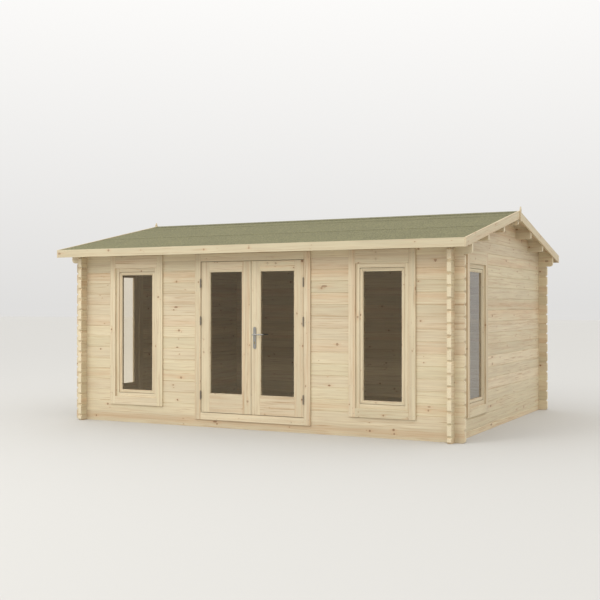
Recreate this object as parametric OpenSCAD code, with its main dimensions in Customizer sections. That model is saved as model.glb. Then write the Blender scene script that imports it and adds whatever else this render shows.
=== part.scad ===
// Log cabin: interlocked log walls, low gable roof on purlins, double glazed
// doors in the long front wall and four tall fixed windows.
// X runs along the front wall, -Y is the front, Z is up and the ground is z = 0.

/* [Walls] */
// Width between the outer faces of the two gable walls
cabin_w = 5000; // [4600:10:6200]
// Depth between the outer faces of the front and back walls
cabin_d = 3880; // [3300:10:4800]
// Thickness of every log
log_t = 48; // [40:1:60]
// Height of one course of logs
log_h = 135; // [120:1:150]
// Number of whole courses below the wall plates
courses = 15; // [14:1:16]
// How far the log ends run past the crossing wall
log_end = 115; // [90:1:150]
// Width and depth of the V edges along each log
groove = 5; // [2:0.5:7]
// Bevel on the corners of the log ends
end_bevel = 18; // [5:1:30]
// Height of a wall plate at the outer wall face
plate_log_h = 189; // [170:1:210]
// Radius of the lower corners at the ends of the wall plates
plate_round = 45; // [20:1:60]

/* [Roof] */
// Slope of the roof in degrees
roof_pitch = 11.8; // [8:0.1:16]
// Distance from the outer wall face to the outer face of the fascia
eaves = 276; // [200:1:350]
// How far the purlins and the roof run past the gable walls
verge = 195; // [130:1:260]
// Height of a purlin
purlin_h = 145; // [100:1:160]
// Number of purlins on each side of the ridge purlin
purlin_count = 2; // [1:1:3]
// Radius of the lower corners at the ends of the purlins
purlin_round = 18; // [8:1:40]
// Thickness of the roof boards
roof_board_t = 19; // [16:1:25]
// Thickness of the roofing felt
felt_t = 4; // [2:0.5:6]
// Width of the fascia and barge boards
edge_board_w = 96; // [80:1:130]
// Thickness of the fascia and barge boards
edge_board_t = 20; // [14:1:28]
// How far the top of the barge boards stands over the felt
barge_rise = 6; // [0:0.5:15]
// Width of the pointed cover board at each apex
finial_w = 45; // [30:1:70]
// Height of the pointed cover board
finial_h = 190; // [150:1:240]
// Thickness of the pointed cover board
finial_t = 16; // [10:1:24]
// How far its point stands over the barge boards
finial_rise = 50; // [20:1:80]

/* [Floor] */
// Height of the floor joists
joist_h = 70; // [45:1:90]
// Width of a floor joist
joist_w = 45; // [35:1:70]
// Number of floor joists
joist_count = 9; // [5:1:13]
// Thickness of the floor boards
floor_board_t = 19; // [16:1:28]
// Gap between the floor boards and the walls
floor_gap = 8; // [4:1:12]
// Play between the ends of the joists and the walls
joist_play = 0.5; // [0.3:0.1:0.9]

/* [Casings] */
// Thickness of the boards that trim the openings
casing_t = 20; // [14:1:28]
// Width of the trim boards at the sides of an opening
casing_w = 82; // [60:1:110]
// How far the top trim boards reach up the wall plates
casing_over = 75; // [40:1:120]
// Gap between a frame and the logs around it
frame_gap = 4; // [1:1:8]

/* [Windows] */
// Width of the opening that the window trim leaves
window_w = 637; // [500:1:760]
// Height of the lower edge of that opening
window_sill = 322; // [250:1:500]
// Distance of the upper edge of that opening below the wall plates
window_drop = 79; // [60:1:320]
// Height of the trim board under a window
window_apron = 100; // [70:1:140]
// Distance of the middle of a front window from the outer face of the gable wall
front_window_in = 836; // [700:1:1000]
// Distance of the middle of a gable window from the front wall face
gable_window_y = 812; // [600:1:1100]
// Width of the fixed frame that shows inside the trim
window_frame_w = 48; // [30:1:60]
// Width of the glazing rail inside the fixed frame
glazing_rail_w = 41; // [30:1:60]
// Depth of the step from the frame down to the glazing rail
rail_step = 6; // [3:1:10]
// Thickness of every pane
glass_t = 6; // [4:1:10]
// Depth of the window pane behind the outer wall face
window_glass_depth = 26; // [15:1:32]

/* [Doors] */
// Width of one door leaf
leaf_w = 692; // [600:1:760]
// Distance of the upper edge of the leaves below the wall plates
leaf_drop = 23; // [15:1:120]
// Height of the door sill over the bottom log
sill_h = 41; // [30:1:60]
// Thickness of a door leaf
leaf_t = 44; // [38:1:48]
// How far the closed leaves stand in front of the outer wall face
leaf_proud = 12; // [8:1:16]
// Width of the upright members of a leaf
stile_w = 116; // [90:1:140]
// Height of the top rail of a leaf
top_rail_h = 114; // [90:1:140]
// Height of the bottom rail of a leaf
bottom_rail_h = 221; // [160:1:300]
// Gap between the leaves, and between a leaf and the frame
leaf_gap = 6; // [5:0.5:8]
// How much the meeting edges slant back so that the leaves swing clear
edge_slant = 4; // [3:0.5:6]
// Depth of the door pane behind the outer face of the leaf
door_glass_depth = 17; // [12:1:22]
// Width of the door frame members
door_frame_w = 44; // [36:1:60]
// How far the stops reach behind the leaves
stop_lap = 12; // [8:1:20]
// Gap between a closed leaf and its stop
stop_gap = 5; // [5:0.5:6]
// Height of the trim board under the doors
door_apron = 84; // [60:1:100]

/* [Door hardware] */
// Radius of a hinge barrel
barrel_r = 7; // [5:0.5:9]
// Length of a hinge barrel
barrel_l = 100; // [80:1:130]
// Radius of a hinge pin
hinge_pin_r = 3.5; // [2.5:0.25:4.5]
// Running clearance around pins and the lever spindle
pin_clear = 0.3; // [0.2:0.05:0.6]
// Height of the lowest hinge over the lower edge of a leaf
hinge_low = 206; // [120:1:300]
// Distance of the highest hinge below the upper edge of a leaf
hinge_high = 258; // [120:1:320]
// Distance of the middle hinge below the highest hinge
hinge_mid = 456; // [300:1:700]
// Height of the lever spindle over the lower edge of its leaf
lever_up = 950; // [850:1:1050]
// Distance of the lever spindle from the meeting edge of its leaf
lever_in = 48; // [40:1:60]
// Length of the lever
lever_l = 140; // [100:1:150]
// Radius of the lever grip
lever_r = 9; // [7:0.5:11]
// Distance from the leaf to the middle of the lever grip
lever_out = 52; // [44:1:65]
// Radius of the lever spindle
spindle_r = 5; // [4:0.5:6]
// Width of a handle plate
plate_w = 38; // [32:1:48]
// Height of a handle plate
plate_h = 260; // [200:1:280]
// Thickness of a handle plate
plate_t = 8; // [5:1:12]
// Height of the plate that lies above the spindle
plate_over = 89; // [60:1:110]
// Thickness of the flat wings of a hinge
wing_t = 2.2; // [1.5:0.1:2.5]
// How far the wings reach into the gap beside the leaf
wing_d = 34; // [20:1:38]

/* [Hidden] */
slope = tan(roof_pitch);
half_w = cabin_w / 2;
half_d = cabin_d / 2;
eave_y = half_d + eaves;
verge_x = half_w + verge;
plate_z = courses * log_h;
glass_lap = 12;
glass_play = 2;
eave_under = plate_z + plate_log_h;
ridge_under = eave_under + slope * half_d;
roof_rise_t = roof_board_t / cos(roof_pitch);
felt_rise_t = felt_t / cos(roof_pitch);
ridge_top = ridge_under + roof_rise_t + felt_rise_t;
barge_top = ridge_top + barge_rise;
barge_rise_w = edge_board_w / cos(roof_pitch);
board_end_y = eave_y - edge_board_t;
purlin_step = half_d / (purlin_count + 1);
casing_top = plate_z + casing_over;

// Openings in the logs
front_window_x = half_w - front_window_in;
window_head = plate_z - window_drop;
window_frame_lap = 22;
window_cut_w = window_w + 2 * (window_frame_lap + frame_gap);
window_cut_low = window_sill - window_frame_lap - frame_gap;
window_cut_high = window_head + window_frame_lap + frame_gap;
sill_top = log_h + sill_h;
leaf_low = sill_top + leaf_gap;
leaf_high = plate_z - leaf_drop;
leaf_h = leaf_high - leaf_low;
door_half = leaf_w + leaf_gap / 2;
reveal = door_half + leaf_gap;
door_head = leaf_high + leaf_gap;
door_cut_half = reveal + door_frame_w + frame_gap;
door_cut_high = door_head + door_frame_w + frame_gap;

// Doors, measured from the outer face of the front wall
wall_y = -half_d;
leaf_front = wall_y - leaf_proud;
leaf_back = leaf_front + leaf_t;
stop_y = leaf_back + stop_gap;
hinge_x = door_half + leaf_gap / 2;
barrel_play = 1;
hinge_y = wall_y - casing_t - barrel_r - barrel_play;
hinge_heights = [leaf_low + hinge_low, leaf_high - hinge_high - hinge_mid, leaf_high - hinge_high];
wing_low = 4;
wing_h = barrel_l / 2 - 2 * wing_low;
lever_x = leaf_gap / 2 + lever_in;
lever_z = leaf_low + lever_up;

$fn = 48;
wood = [0.87, 0.80, 0.64];
trim = [0.90, 0.83, 0.68];
shaded = [0.80, 0.71, 0.55];
felt = [0.55, 0.57, 0.44];
pane = [0.45, 0.47, 0.45, 0.5];
steel = [0.70, 0.70, 0.70];
dark_metal = [0.20, 0.20, 0.20];

// Height of the underside of the roof boards at a distance y from the ridge
function under(y) = ridge_under - slope * abs(y);

// Heights of the joints between low and high, for courses that start at z = start
function joints(start, low, high) =
    [for (z = [start : log_h : high - 0.1]) if (z > low + 0.1) z];

// Side outline of a stack of logs, one end at x = end, turned by dir = 1 or -1
function log_ends(end, dir, low, high, zs) =
    let (all = concat([low], zs, [high]))
    [for (i = [0 : len(all) - 2]) each [
        [end - dir * end_bevel, all[i]],
        [end, all[i] + end_bevel],
        [end, all[i + 1] - end_bevel],
        [end - dir * end_bevel, all[i + 1]]
    ]];

// Reverses a list of points
function turned(points) = [for (i = [len(points) - 1 : -1 : 0]) points[i]];

// Drops each point that repeats the one before it
function distinct(points) =
    [for (i = [0 : len(points) - 1]) if (i == 0 || norm(points[i] - points[i - 1]) > 0.01) points[i]];

// Puts a drawing of (along X, up Z) upright, filling y to y + depth
module facing_front(y, depth)
    translate([0, y + depth, 0]) rotate([90, 0, 0]) linear_extrude(depth) children();

// Puts a drawing of (along Y, up Z) upright, filling x to x + depth
module facing_side(x, depth)
    translate([x, 0, 0]) rotate([90, 0, 90]) linear_extrude(depth) children();

// Cross-section of stacked logs with V edges at the joints, from thickness t0
module log_profile(t0, low, high, zs) {
    outer = [for (z = zs) each [[t0, z - groove], [t0 + groove, z], [t0, z + groove]]];
    inner = [for (z = zs) each [
        [t0 + log_t, z - groove], [t0 + log_t - groove, z], [t0 + log_t, z + groove]]];
    polygon(concat([[t0, low]], outer, [[t0, high], [t0 + log_t, high]], turned(inner),
        [[t0 + log_t, low]]));
}

// Part of the front or back wall between x0 and x1; ends with bevelled logs where asked
module long_wall(y, x0, x1, low, high, bevel_left, bevel_right, cuts) {
    zs = joints(0, low, high);
    left = bevel_left ? log_ends(x0, -1, low, high, zs) : [[x0, low], [x0, high]];
    right = bevel_right ? log_ends(x1, 1, low, high, zs) : [[x1, low], [x1, high]];
    intersection() {
        facing_front(y, log_t) difference() {
            polygon(distinct(concat(right, turned(left))));
            side_laps(low, high);
            for (c = cuts) translate([c[0], c[1]]) square([c[2], c[3]]);
        }
        facing_side(x0, x1 - x0) log_profile(y, low, high, zs);
    }
}

// Where a long wall leaves room for the crossing side logs
module side_laps(low, high)
    for (side = [-1, 1], k = [0 : courses + 1]) {
        z0 = max((k - 0.25) * log_h, low - 1);
        z1 = k > courses ? high + 1 : (k + 0.25) * log_h;
        if (z1 > low && z0 < high)
            translate([side * (half_w - log_t / 2) - log_t / 2, z0]) square([log_t, z1 - z0]);
    }

// Where a gable wall leaves room for the crossing front and back logs
module long_laps()
    for (side = [-1, 1], k = [0 : courses])
        translate([side * (half_d - log_t / 2) - log_t / 2, (k + 0.25) * log_h])
            square([log_t, log_h / 2]);

// Space below the roof boards, drawn as (along Y, up Z)
module below_roof(low)
    polygon([[-eave_y, low], [eave_y, low], [eave_y, under(eave_y)], [0, ridge_under],
        [-eave_y, under(eave_y)]]);

// Upright section of one roof layer on the front slope, from height a over the
// underside to height b, between the ridge and the distance end from it
module slope_section(side, end, a, b)
    polygon([[0, ridge_under + a], [side * end, under(end) + a], [side * end, under(end) + b],
        [0, ridge_under + b]]);

function window_cut(x) =
    [x - window_cut_w / 2, window_cut_low, window_cut_w, window_cut_high - window_cut_low];

module front_sill_log()
    color(wood) long_wall(wall_y, -half_w - log_end, half_w + log_end, 0, log_h, true, true, []);

module front_wall_left()
    color(wood) long_wall(wall_y, -half_w - log_end, -door_cut_half, log_h, plate_z, true, false,
        [window_cut(-front_window_x)]);

module front_wall_right()
    color(wood) long_wall(wall_y, door_cut_half, half_w + log_end, log_h, plate_z, false, true,
        [window_cut(front_window_x)]);

// Outline of a beam as long as the roof, its lower corners rounded to radius r
module beam_outline(low, high, r)
    difference() {
        pane_area(-verge_x, verge_x, low, high);
        for (side = [-1, 1])
            translate([side * verge_x, low]) difference() {
                square(2 * r, center = true);
                translate([-side * r, r]) circle(r);
            }
    }

// Wall plate, bevelled on top to carry the roof boards
module wall_plate(y, cuts) {
    high = under(half_d - log_t);
    intersection() {
        facing_front(y, log_t) difference() {
            beam_outline(plate_z, high, plate_round);
            side_laps(plate_z, high);
            for (c = cuts) translate([c[0], c[1]]) square([c[2], c[3]]);
        }
        facing_side(-verge_x, 2 * verge_x) below_roof(plate_z - 1);
    }
}

module front_wall_plate()
    color(wood) wall_plate(wall_y, [[-door_cut_half, plate_z - 1, 2 * door_cut_half,
        door_cut_high - plate_z + 1]]);

module back_wall()
    color(wood) long_wall(half_d - log_t, -half_w - log_end, half_w + log_end, 0, plate_z,
        true, true, []);

module back_wall_plate() color(wood) wall_plate(half_d - log_t, []);

// Gable wall with its outer face at x = side * half_w
module gable_wall(side) {
    zs = joints(log_h / 2, 0, ridge_under);
    x = side > 0 ? half_w - log_t : -half_w;
    end = half_d + log_end;
    intersection() {
        facing_side(x, log_t) difference() {
            polygon(distinct(concat(log_ends(end, 1, 0, ridge_under, zs),
                turned(log_ends(-end, -1, 0, ridge_under, zs)))));
            long_laps();
            for (i = [-purlin_count : purlin_count])
                translate([i * purlin_step - log_t / 2, purlin_low(i)])
                    square([log_t, 2 * purlin_h]);
            translate([wall_y + gable_window_y, 0]) translate([-window_cut_w / 2, window_cut_low])
                square([window_cut_w, window_cut_high - window_cut_low]);
        }
        facing_front(-end, 2 * end) log_profile(x, 0, ridge_under, zs);
        facing_side(x, log_t) below_roof(0);
    }
}

module left_gable_wall() color(shaded) gable_wall(-1);
module right_gable_wall() color(shaded) gable_wall(1);

function purlin_low(i) = ridge_under - slope * purlin_step * abs(i) - purlin_h;

// Purlin number i from the ridge, topped to fit the roof boards
module purlin(i)
    intersection() {
        facing_front(i * purlin_step - log_t / 2, log_t)
            beam_outline(purlin_low(i), purlin_low(i) + 2 * purlin_h, purlin_round);
        facing_side(-verge_x, 2 * verge_x) below_roof(0);
    }

module front_purlins() color(wood) for (i = [1 : purlin_count]) purlin(-i);
module ridge_purlin() color(wood) purlin(0);
module back_purlins() color(wood) for (i = [1 : purlin_count]) purlin(i);

module roof_boards(side)
    facing_side(-verge_x, 2 * verge_x) slope_section(side, board_end_y, 0, roof_rise_t);

module roof_felt(side)
    facing_side(-verge_x, 2 * verge_x)
        slope_section(side, board_end_y, roof_rise_t, roof_rise_t + felt_rise_t);

module front_roof_boards() color(trim) roof_boards(-1);
module back_roof_boards() color(trim) roof_boards(1);
module front_roof_felt() color(felt) roof_felt(-1);
module back_roof_felt() color(felt) roof_felt(1);

// Fascia over the ends of the roof boards, its top level with the barge boards
module fascia(side) {
    high = barge_top - slope * eave_y;
    translate([-verge_x, side > 0 ? board_end_y : -eave_y, high - edge_board_w])
        cube([2 * verge_x, edge_board_t, edge_board_w]);
}

module front_fascia() color(trim) fascia(-1);
module back_fascia() color(trim) fascia(1);

// The two barge boards of one gable, a hair apart at the apex
module barge_boards(side) {
    joint = 0.25;
    facing_side(side > 0 ? verge_x : -verge_x - edge_board_t, edge_board_t)
        for (way = [-1, 1])
            polygon([
                [way * joint, barge_top - slope * joint],
                [way * eave_y, barge_top - slope * eave_y],
                [way * eave_y, barge_top - slope * eave_y - barge_rise_w],
                [way * joint, barge_top - slope * joint - barge_rise_w]
            ]);
}

module left_barge_boards() color(trim) barge_boards(-1);
module right_barge_boards() color(trim) barge_boards(1);

// Pointed boards that cover the two apex joints
module gable_finials() {
    high = barge_top + finial_rise;
    color(trim) for (side = [-1, 1])
        facing_side(side > 0 ? verge_x + edge_board_t : -verge_x - edge_board_t - finial_t, finial_t)
            polygon([
                [-finial_w / 2, high - finial_h + finial_w / 2], [0, high - finial_h],
                [finial_w / 2, high - finial_h + finial_w / 2],
                [finial_w / 2, high - finial_w], [0, high], [-finial_w / 2, high - finial_w]
            ]);
}

floor_x = half_w - log_t - floor_gap;
floor_y = half_d - log_t - floor_gap;

module floor_joists() {
    end = half_d - log_t - joist_play;
    color(shaded) for (i = [0 : joist_count - 1])
        translate([-floor_x + i * (2 * floor_x - joist_w) / (joist_count - 1), -end, 0])
            cube([joist_w, 2 * end, joist_h]);
}

module floor_boards()
    color(wood) translate([-floor_x, -floor_y, joist_h])
        cube([2 * floor_x, 2 * floor_y, floor_board_t]);

// Upright drawing of a rectangle between x0 and x1, z0 and z1
module pane_area(x0, x1, z0, z1) translate([x0, z0]) square([x1 - x0, z1 - z0]);

// Flat ring around an opening
module ring(half, low, high, side_w, low_w, high_w)
    difference() {
        pane_area(-half - side_w, half + side_w, low - low_w, high + high_w);
        pane_area(-half, half, low, high);
    }

module door_frame()
    color(trim) {
        facing_front(wall_y, log_t)
            ring(reveal, sill_top, door_head, door_frame_w, sill_top - log_h, door_frame_w);
        facing_front(stop_y, wall_y + log_t - stop_y)
            ring(reveal - leaf_gap - stop_lap, leaf_low + stop_lap, leaf_high - stop_lap,
                leaf_gap + stop_lap, leaf_gap + stop_lap, leaf_gap + stop_lap);
    }

module door_casing()
    color(trim) {
        facing_front(wall_y - casing_t, casing_t)
            ring(reveal, sill_top, door_head, casing_w, door_apron, casing_top - door_head);
        facing_front(wall_y + log_t, casing_t)
            ring(reveal, log_h + floor_board_t, door_head, casing_w, 0, casing_w);
    }

// Door leaf with its free edge at x = edge, reaching outwards along way = 1 or -1
module leaf(way) {
    near = leaf_gap / 2;
    far = near + leaf_w;
    difference() {
        facing_front(leaf_front, leaf_t) scale([way, 1])
            difference() {
                pane_area(near, far, leaf_low, leaf_high);
                pane_area(near + stile_w, far - stile_w, leaf_low + bottom_rail_h,
                    leaf_high - top_rail_h);
            }
        facing_front(leaf_front + door_glass_depth - glass_t / 2, glass_t) scale([way, 1])
            pane_area(near + stile_w - glass_lap, far - stile_w + glass_lap,
                leaf_low + bottom_rail_h - glass_lap, leaf_high - top_rail_h + glass_lap);
        translate([0, leaf_front, leaf_low - 1]) scale([way, 1, 1]) linear_extrude(leaf_h + 2)
            polygon([[near, 0], [near + edge_slant, leaf_t], [near + edge_slant, leaf_t + 1],
                [near - 1, leaf_t + 1], [near - 1, 0]]);
    }
}

module leaf_glass(way)
    facing_front(leaf_front + door_glass_depth - glass_t / 2, glass_t) scale([way, 1])
        pane_area(leaf_gap / 2 + stile_w - glass_lap + glass_play,
            leaf_gap / 2 + leaf_w - stile_w + glass_lap - glass_play,
            leaf_low + bottom_rail_h - glass_lap, leaf_high - top_rail_h + glass_lap - glass_play);

module left_door_leaf() color(trim) leaf(-1);
module left_door_glass() color(pane) leaf_glass(-1);

module right_door_leaf()
    color(trim) difference() {
        leaf(1);
        translate([lever_x, leaf_back + 1, lever_z]) rotate([90, 0, 0])
            cylinder(r = spindle_r + pin_clear, h = leaf_t + 2);
    }

module right_door_glass() color(pane) leaf_glass(1);

// Flat wing that runs from a hinge's barrel into the gap beside the leaf, on the side of
// the gap that way points to
module wing(way, h)
    translate([way > 0 ? leaf_gap / 2 - wing_t : -leaf_gap / 2, 0, wing_low])
        cube([wing_t, leaf_front - hinge_y + wing_d, h]);

// Lower half of each hinge, with its pin, fixed to the reveal of the doorway
module hinge_pins()
    color(dark_metal) for (way = [-1, 1], z = hinge_heights)
        translate([way * hinge_x, hinge_y, z - barrel_l / 2]) {
            cylinder(r = barrel_r, h = barrel_l / 2 - barrel_play);
            cylinder(r = hinge_pin_r, h = barrel_l - barrel_r);
            wing(way, wing_h - barrel_play);
        }

// Upper half of each hinge, fixed to the edge of the leaf
module hinge_sleeves(way)
    color(dark_metal) for (z = hinge_heights)
        translate([way * hinge_x, hinge_y, z]) difference() {
            union() {
                cylinder(r = barrel_r, h = barrel_l / 2);
                wing(-way, wing_h);
            }
            translate([0, 0, -1]) cylinder(r = hinge_pin_r + pin_clear, h = barrel_l / 2 - wing_low);
        }

module left_hinge_sleeves() hinge_sleeves(-1);
module right_hinge_sleeves() hinge_sleeves(1);

// Handle plates on both faces of the right leaf, bored for the lever
module handle_plates()
    color(steel) difference() {
        for (y = [leaf_front - plate_t, leaf_back])
            translate([lever_x - plate_w / 2, y, lever_z + plate_over - plate_h])
                cube([plate_w, plate_t, plate_h]);
        translate([lever_x, leaf_back + plate_t + 1, lever_z]) rotate([90, 0, 0])
            cylinder(r = spindle_r + pin_clear, h = leaf_t + 2 * plate_t + 2);
    }

// Lever handles inside and outside on one spindle
module door_lever()
    color(steel) translate([lever_x, 0, lever_z]) {
        translate([0, leaf_back + lever_out, 0]) rotate([90, 0, 0])
            cylinder(r = spindle_r, h = leaf_t + 2 * lever_out);
        for (y = [leaf_front - lever_out, leaf_back + lever_out])
            translate([0, y, 0]) {
                sphere(r = lever_r);
                rotate([0, 90, 0]) cylinder(r = lever_r, h = lever_l - lever_r);
                translate([lever_l - lever_r, 0, 0]) sphere(r = lever_r);
            }
        for (y = [leaf_front - plate_t - 1, leaf_back + lever_out])
            translate([0, y, 0]) rotate([90, 0, 0])
                cylinder(r = lever_r, h = lever_out - plate_t - 1);
    }

// Window parts drawn facing -Y, with the outer wall face at y = 0 and x = 0 the middle
module window_casing()
    color(trim) for (y = [-casing_t, log_t])
        facing_front(y, casing_t)
            ring(window_w / 2, window_sill, window_head, casing_w, window_apron,
                y < 0 ? casing_top - window_head : casing_w);

module window_frame()
    color(trim) difference() {
        union() {
            facing_front(0, log_t)
                ring(window_w / 2 - window_frame_w, window_sill + window_frame_w,
                    window_head - window_frame_w, window_frame_w + window_frame_lap,
                    window_frame_w + window_frame_lap, window_frame_w + window_frame_lap);
            facing_front(rail_step, log_t - rail_step - 4)
                ring(window_w / 2 - window_frame_w - glazing_rail_w,
                    window_sill + window_frame_w + glazing_rail_w,
                    window_head - window_frame_w - glazing_rail_w, glazing_rail_w,
                    glazing_rail_w, glazing_rail_w);
        }
        window_pane(glass_lap);
    }

module window_pane(lap) {
    clear = window_w / 2 - window_frame_w - glazing_rail_w;
    facing_front(window_glass_depth - glass_t / 2, glass_t)
        pane_area(-clear - lap, clear + lap, window_sill + window_frame_w + glazing_rail_w - glass_lap,
            window_head - window_frame_w - glazing_rail_w + lap);
}

module window_glass() color(pane) window_pane(glass_lap - glass_play);

module in_front(x) translate([x, wall_y, 0]) children();
module in_gable(side)
    translate([side * half_w, wall_y + gable_window_y, 0]) rotate([0, 0, side * 90]) children();

module front_left_window_casing() in_front(-front_window_x) window_casing();
module front_left_window_frame() in_front(-front_window_x) window_frame();
module front_left_window_glass() in_front(-front_window_x) window_glass();
module front_right_window_casing() in_front(front_window_x) window_casing();
module front_right_window_frame() in_front(front_window_x) window_frame();
module front_right_window_glass() in_front(front_window_x) window_glass();
module left_gable_window_casing() in_gable(-1) window_casing();
module left_gable_window_frame() in_gable(-1) window_frame();
module left_gable_window_glass() in_gable(-1) window_glass();
module right_gable_window_casing() in_gable(1) window_casing();
module right_gable_window_frame() in_gable(1) window_frame();
module right_gable_window_glass() in_gable(1) window_glass();

front_sill_log();
front_wall_left();
front_wall_right();
front_wall_plate();
back_wall();
back_wall_plate();
left_gable_wall();
right_gable_wall();
front_purlins();
ridge_purlin();
back_purlins();
front_roof_boards();
back_roof_boards();
front_roof_felt();
back_roof_felt();
front_fascia();
back_fascia();
left_barge_boards();
right_barge_boards();
gable_finials();
floor_joists();
floor_boards();
door_frame();
door_casing();
left_door_leaf();
left_door_glass();
right_door_leaf();
right_door_glass();
hinge_pins();
left_hinge_sleeves();
right_hinge_sleeves();
handle_plates();
door_lever();
front_left_window_casing();
front_left_window_frame();
front_left_window_glass();
front_right_window_casing();
front_right_window_frame();
front_right_window_glass();
left_gable_window_casing();
left_gable_window_frame();
left_gable_window_glass();
right_gable_window_casing();
right_gable_window_frame();
right_gable_window_glass();
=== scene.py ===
"""Log cabin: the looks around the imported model.

Metres, +Z up, X along the front wall and -Y towards the front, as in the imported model. The log walls,
the beams and the trim on the roof's edges are the model's own nodes with wood painted on them. What is
made of boards is built here board by board, in place of the plain solid that stands for it.
"""

import math
import random

import bpy
from mathutils import Matrix, Vector, noise


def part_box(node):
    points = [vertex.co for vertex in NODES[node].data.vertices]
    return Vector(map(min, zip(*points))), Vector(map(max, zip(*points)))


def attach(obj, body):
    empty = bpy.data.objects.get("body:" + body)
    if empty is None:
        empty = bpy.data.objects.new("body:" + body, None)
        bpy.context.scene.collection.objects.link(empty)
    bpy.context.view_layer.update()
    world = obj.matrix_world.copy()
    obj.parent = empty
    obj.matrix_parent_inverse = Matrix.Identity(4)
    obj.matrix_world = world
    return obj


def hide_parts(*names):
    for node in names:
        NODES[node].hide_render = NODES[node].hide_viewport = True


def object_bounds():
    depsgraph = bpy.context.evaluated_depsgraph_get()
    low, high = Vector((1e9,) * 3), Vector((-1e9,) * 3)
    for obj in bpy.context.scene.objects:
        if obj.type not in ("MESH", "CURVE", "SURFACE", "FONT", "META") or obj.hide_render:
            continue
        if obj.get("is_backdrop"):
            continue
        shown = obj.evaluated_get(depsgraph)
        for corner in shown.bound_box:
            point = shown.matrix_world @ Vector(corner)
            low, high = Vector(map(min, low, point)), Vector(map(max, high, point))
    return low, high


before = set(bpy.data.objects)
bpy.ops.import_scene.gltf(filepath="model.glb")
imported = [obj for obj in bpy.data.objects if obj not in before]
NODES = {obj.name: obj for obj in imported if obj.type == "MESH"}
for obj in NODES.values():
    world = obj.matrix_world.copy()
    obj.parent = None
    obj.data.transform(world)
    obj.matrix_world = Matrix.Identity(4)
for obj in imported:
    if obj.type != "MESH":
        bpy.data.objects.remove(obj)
cad_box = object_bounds()
WINDOWS = ("front_left", "front_right", "left_gable", "right_gable")

# Sizes in metres, those of the model's pieces as in the model
LOG_H = 0.135  # height of one course of logs
LOG_T = 0.048
SLOPE = math.radians(11.8)  # of the roof

CASING_W = 0.082
CASING_T = 0.020
WINDOW_APRON = 0.100
FRAME_LAP = 0.022  # how far a window frame reaches behind its casing
FRAME_W = 0.048  # what shows of a window frame inside its casing
RAIL_W = 0.041  # glazing rail inside a window frame
RAIL_STEP = 0.006  # from the frame's front face back to the rail's
RAIL_STEP_INSIDE = 0.004
SASH_GAP = 0.004  # groove between a window's frame and its sash
GLASS_BEAD = 0.010
BEAD_STEP = 0.0025
PANE_GAP = 0.0002  # between a pane and the wood that holds it

DOOR_FRAME_W = 0.044
DOOR_APRON = 0.084
STOP_W = 0.018  # of the rebate that the leaves close against
STOP_GAP = 0.005
LEAF_T = 0.044
STILE_W = 0.116
TOP_RAIL_H = 0.114
BOTTOM_RAIL_H = 0.221
EDGE_SLANT = 0.004
DOOR_BEAD = 0.011
DOOR_BEAD_STEP = 0.003

FLOOR_BOARD_W = 0.121
FLOOR_BOARD_T = 0.019
ROOF_BOARD_W = 0.098
BOARD_GAP = 0.001
ARRIS = 0.002  # how far the edges of planed wood are rounded
FINE_ARRIS = 0.0015  # on the doors, the floor and the finials
BEAD_ARRIS = 0.003  # on the doors' glazing beads
ROOF_BOARD_ARRIS = 0.003
BEAM_ARRIS = 0.0025
FELT_W = 1.0  # width of one strip of felt
FELT_T = 0.0022
FELT_LAP = 0.09
CAP_W = 0.14  # how far the ridge cap reaches down each slope

FELT_NAIL_STEP = 0.16
FELT_NAIL_R = 0.0050
TRIM_NAIL_R = 0.0028
NAIL_SPREAD = 0.022  # from a casing board's middle to each of two nails
BARGE_NAIL_SPREAD = 0.024
BARREL_R = 0.007
BARREL_L = 0.100
HINGE_Z = (0.388, 1.288, 1.744)
PLATE_T = 0.008
LOCK_DROP = 0.092  # from the lever down to the lock
LEVER_BOW = 0.017  # how far the lever's end comes back towards the door

BOARD_CELL = 0.09  # height of the patch of a board or beam that may hold one whorl of knots
SKY_LOW = 0.765  # brightness of the sky at the horizon, where it meets the floor without a line
SKY_HIGH = 1.56  # and overhead
KEY_POWER = 620.0
KEY_SIZE = 9.0
KEY_PLACE = (-5.0, -13.0, 9.0)

# Colours, as linear red, green and blue
PINE_CREAM = (0.735, 0.628, 0.446)
PINE_GREEN = (0.695, 0.612, 0.415)
PINE_LATE = (0.560, 0.410, 0.235)
PINE_PINK = (0.660, 0.480, 0.300)
PINE_VEIN = (0.400, 0.245, 0.120)
# Paler colour for sawn log ends: a painted highlight for the light the ends catch, not the wood's own
# colour
PINE_END_PAINTED_LIGHT = (0.830, 0.715, 0.500)
KNOT_CORE = (0.270, 0.135, 0.060)
KNOT_RIM = (0.095, 0.048, 0.025)
FELT_GREEN = (0.236, 0.222, 0.100)
FELT_DARK = (0.106, 0.100, 0.050)
FELT_PALE = (0.385, 0.365, 0.190)
GALVANISED = (0.300, 0.300, 0.290)
SATIN_STEEL = (0.330, 0.320, 0.300)
DARK_STEEL = (0.270, 0.240, 0.200)
BRASS = (0.330, 0.260, 0.120)
BRONZE_CAST = (1.0, 0.95, 0.86)  # of light through a pane
BRONZE_GLOSS = (1.0, 0.84, 0.62)  # and of what it reflects
PALE_FLOOR = (0.562, 0.555, 0.535)
SKY = (0.975, 0.965, 0.950)
KEY_LIGHT = (0.97, 0.975, 0.945)


# ---------------------------------------------------------------- shader fields


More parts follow.
